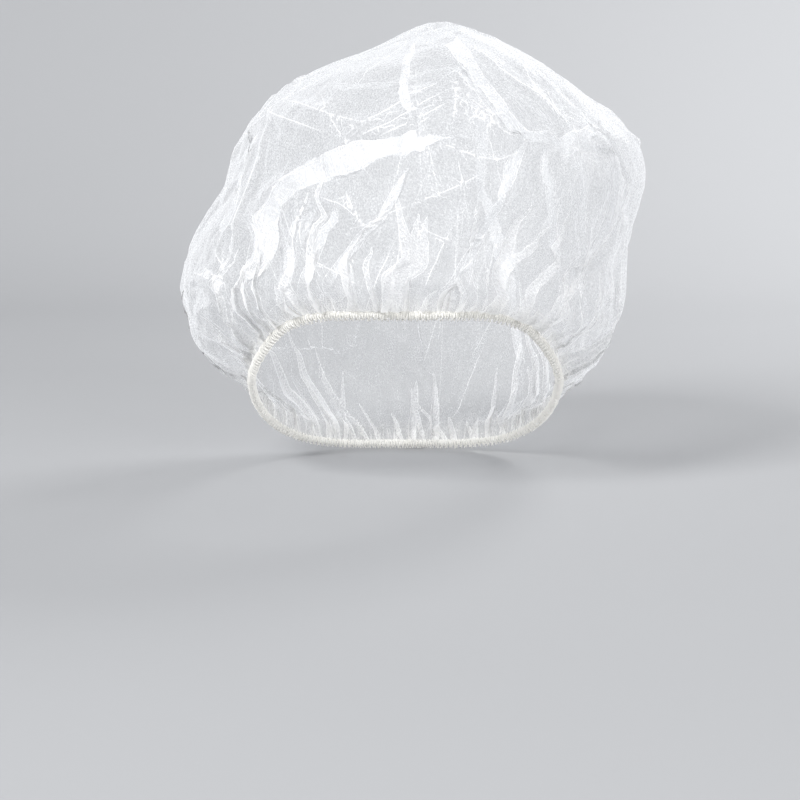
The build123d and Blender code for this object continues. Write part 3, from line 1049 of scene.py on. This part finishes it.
def sheet_normal(shader, flat, grain, layered, incoming):
    """Fine wrinkles and grain; a turned layer is shaded more like the flat sheet it lies on."""
    wrinkle = shader.noise(shader.mapping(flat, (0.16, 0.06, 1), angle=0.9), scale=1.0,
                           roughness=0.55, distortion=0.6)
    ridge = shader.math("SUBTRACT", 1.0, shader.math("MULTIPLY", shader.off(wrinkle, 0.5), 7.0),
                        clamp=True)
    wrinkled = shader.bump(ridge, strength=0.35, distance=0.0011)
    grained = shader.bump(shader.math("MULTIPLY", grain, 1.7), strength=0.5, distance=0.00022,
                          Normal=wrinkled)
    lie = shader.attribute("lie", "Vector")
    cosine = shader.vector_math("DOT_PRODUCT", {0: lie, 1: incoming}, "Value")
    lie_to_eye = shader.vector_math("SCALE", {0: lie, "Scale": shader.math("SIGN", cosine)})
    share = shader.math("MULTIPLY_ADD", layered, 0.45, 0.10)
    blend = shader.node("ShaderNodeMix", {0: share, 4: grained, 5: lie_to_eye},
                        data_type="VECTOR").outputs[1]
    return shader.vector_math("NORMALIZE", {0: blend})


def nonwoven(name, is_hem=False):
    """Thin see-through sheet of pressed fibres."""
    shader = Shader(name)
    flat = shader.attribute("flat", "Vector")
    filaments = fibres(shader, flat)
    cloud = shader.noise(flat, scale=0.075, detail=3, roughness=0.62)
    grain = shader.noise(flat, scale=0.85, roughness=0.75)
    specks = shader.ramp(grain, zero=0.40, one=0.64)
    band_in = shader.ramp(shader.attribute("fold"), zero=-0.03, one=0.06)
    pleat_in = shader.ramp(shader.attribute("pleat"), zero=0.0, one=0.10)
    near_hem = shader.ramp(shader.attribute("rise"), zero=17.0, one=0.5)
    geometry = shader.node("ShaderNodeNewGeometry", {}).outputs
    incoming = geometry["Incoming"]
    cosine = shader.vector_math("DOT_PRODUCT", {0: geometry["Normal"], 1: incoming}, "Value")

    dense = packing(shader, cloud, band_in, pleat_in, near_hem, is_hem)
    alpha = sheet_alpha(shader, cloud, specks, filaments, dense, near_hem, cosine)
    color = sheet_color(shader, specks, dense, is_hem)
    layered = shader.math("MAXIMUM", band_in, pleat_in)
    normal = sheet_normal(shader, flat, grain, layered, incoming)

    lit = {"Color": color, "Normal": normal}
    diffuse = shader.node("ShaderNodeBsdfDiffuse", lit).outputs[0]
    translucent = shader.node("ShaderNodeBsdfTranslucent", lit).outputs[0]
    glossy = shader.node("ShaderNodeBsdfGlossy", {"Roughness": 0.38, "Normal": normal}).outputs[0]
    cloth = shader.mix_shader(0.46, diffuse, translucent)
    cloth = shader.mix_shader(0.045, cloth, glossy)
    # painted light: a faint emission in the sheet's own colour that lifts its shaded places,
    # stronger where seen edge on and stronger all over the hem
    painted_light_edge_on = shader.ramp(shader.math("ABSOLUTE", cosine), zero=0.55, one=0.08)
    strength = shader.math("MULTIPLY_ADD", painted_light_edge_on, 0.20, 0.07 if is_hem else 0.025)
    # painted light: this emission stands in for light scattered inside the fabric
    painted_light = shader.node("ShaderNodeEmission", {"Color": color, "Strength": strength}).outputs[0]
    solid = shader.node("ShaderNodeAddShader", {0: cloth, 1: painted_light}).outputs[0]
    clear = shader.node("ShaderNodeBsdfTransparent", {}).outputs[0]
    return shader.finish(shader.mix_shader(alpha, clear, solid))


def yarn(name, light, dark, twist=9.0):
    """Spun thread: ply lines that wind round it, with painted shade in the grooves between them, a
    soft fuzz and slight colour changes.
    """
    shader = Shader(name)
    flat = shader.attribute("flat", "Vector")
    along, angle, _ = shader.node("ShaderNodeSeparateXYZ", {0: flat}).outputs
    winding = shader.math("ADD", shader.math("MULTIPLY", along, twist),
                          shader.math("MULTIPLY", angle, 2.0))
    ply = shader.math("MULTIPLY_ADD", shader.math("SINE", winding), 0.5, 0.5)
    vary = shader.noise(flat, scale=0.22, detail=3, roughness=0.6)
    fuzz = shader.noise(flat, scale=6.0, roughness=0.6)
    patches = shader.math("MULTIPLY", shader.ramp(vary, zero=0.3, one=0.7), 0.65)
    # the ply term darkens the colour where the bump is low, in the grooves between the plies:
    # painted shade; the patches are the thread's own tone
    color = shader.mix_color(shader.add_scaled(patches, (ply, 0.35)), dark, light)
    normal = shader.bump(shader.add_scaled(ply, (fuzz, 0.5)), strength=0.8, distance=0.00010)
    return shader.finish(shader.node("ShaderNodeBsdfPrincipled", {
        "Base Color": color, "Roughness": shader.math("MULTIPLY_ADD", fuzz, 0.25, 0.55),
        "Sheen Weight": 0.35, "Normal": normal}).outputs[0])


def floor_material():
    """Matt mid grey with faint clouds."""
    shader = Shader("studio_floor")
    place_on_floor = shader.node("ShaderNodeTexCoord", {}).outputs["Object"]
    clouds = shader.noise(place_on_floor, scale=3.0, roughness=0.4)
    color = shader.mix_color(clouds, (0.405, 0.41, 0.42), (0.42, 0.425, 0.435))
    return shader.finish(shader.node("ShaderNodeBsdfPrincipled", {
        "Base Color": color, "Roughness": 0.85, "Specular IOR Level": 0.2}).outputs[0])


sheet_material = nonwoven("nonwoven_sheet")
hem_material = nonwoven("nonwoven_hem", is_hem=True)
thread_material = yarn("overlock_thread", light=(0.975, 0.965, 0.935), dark=(0.88, 0.865, 0.82))
cord_material = yarn("elastic_cord_rubber", light=(0.95, 0.94, 0.90), dark=(0.82, 0.80, 0.75),
                     twist=5.0)
for ob, material, slot in (
        (sheet, sheet_material, "nonwoven"), (hem, hem_material, "nonwoven"),
        (cord, cord_material, "elastic"), (upper, thread_material, "thread"),
        (lower, thread_material, "thread"), (needle, thread_material, "thread"),
        (tail, thread_material, "thread")):
    ob.data.materials.append(material)

# ------------------------------------------------------------------ the CAD parts each piece takes the place of, and the body the seam tail follows
for ob, node in ((sheet, "crown"), (hem, "crown"), (cord, "elastic"),
                 (upper, "upper_looper_thread"), (lower, "lower_looper_thread"),
                 (needle, "needle_thread")):
    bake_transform(ob)
    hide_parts(node + "_front", node + "_rear")
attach(tail, "rear")
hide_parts("seam_tail")


# ------------------------------------------------------------------ floor, camera and lights
def build_floor():
    """A floor that curves up into a wall behind the cap."""
    bottom = min(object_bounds()[0][2], cad_bounds[0][2]) - 0.0004
    half_width, front, wall_top = 3.2, -3.0, 3.2
    bend_start, bend_radius = 0.9, 0.55
    profile = [(front, 0.0)]
    profile += [(bend_start + bend_radius * math.sin(angle), bend_radius * (1 - math.cos(angle)))
                for angle in np.linspace(0, math.pi / 2, 14)]
    profile.append((bend_start + bend_radius, wall_top))
    verts = [(x, y, bottom + z) for y, z in profile for x in (-half_width, half_width)]
    faces = [(2 * i, 2 * i + 1, 2 * i + 3, 2 * i + 2) for i in range(len(profile) - 1)]
    floor = new_mesh("studio_floor", verts, faces)
    floor.data.materials.append(floor_material())


def build_camera():
    """Looks from the brow side, slightly down."""
    aim = Vector((-0.0029, 0.0, -0.0064))
    elevation, distance = math.radians(8), 1.3
    data = bpy.data.cameras.new("camera")
    camera = bpy.data.objects.new("camera", data)
    scene.collection.objects.link(camera)
    data.sensor_width = 36.0
    data.lens = 108.27
    data.clip_start = 0.05
    camera.location = aim + Vector((0, -math.cos(elevation), math.sin(elevation))) * distance
    camera.rotation_euler = (math.pi / 2 - elevation, 0, 0)
    scene.camera = camera


def area_light(name, location, size, power):
    """A square light aimed at the middle of the cap."""
    data = bpy.data.lights.new(name, "AREA")
    data.shape = "RECTANGLE"
    data.size = data.size_y = size
    data.energy = power
    light = bpy.data.objects.new(name, data)
    scene.collection.objects.link(light)
    light.location = location
    aim = Vector((0.005, 0.015, 0.08)) - Vector(location)
    light.rotation_euler = aim.to_track_quat("-Z", "Y").to_euler()


build_floor()
build_camera()
area_light("key", location=(-1.55, -2.2, 1.95), size=1.0, power=94.0)
area_light("fill", location=(1.45, -2.5, 0.55), size=1.5, power=48.0)
area_light("rim", location=(0.85, 1.1, 1.0), size=0.6, power=14.0)

world = bpy.data.worlds.new("studio")
scene.world = world
world.use_nodes = True
background = world.node_tree.nodes["Background"].inputs
background["Color"].default_value = (0.94, 0.96, 1.0, 1)
background["Strength"].default_value = 0.46
scene.cycles.transparent_max_bounces = 20
scene.cycles.max_bounces = 6
scene.cycles.diffuse_bounces = 4
scene.cycles.transmission_bounces = 4
scene.view_settings.view_transform = "Standard"
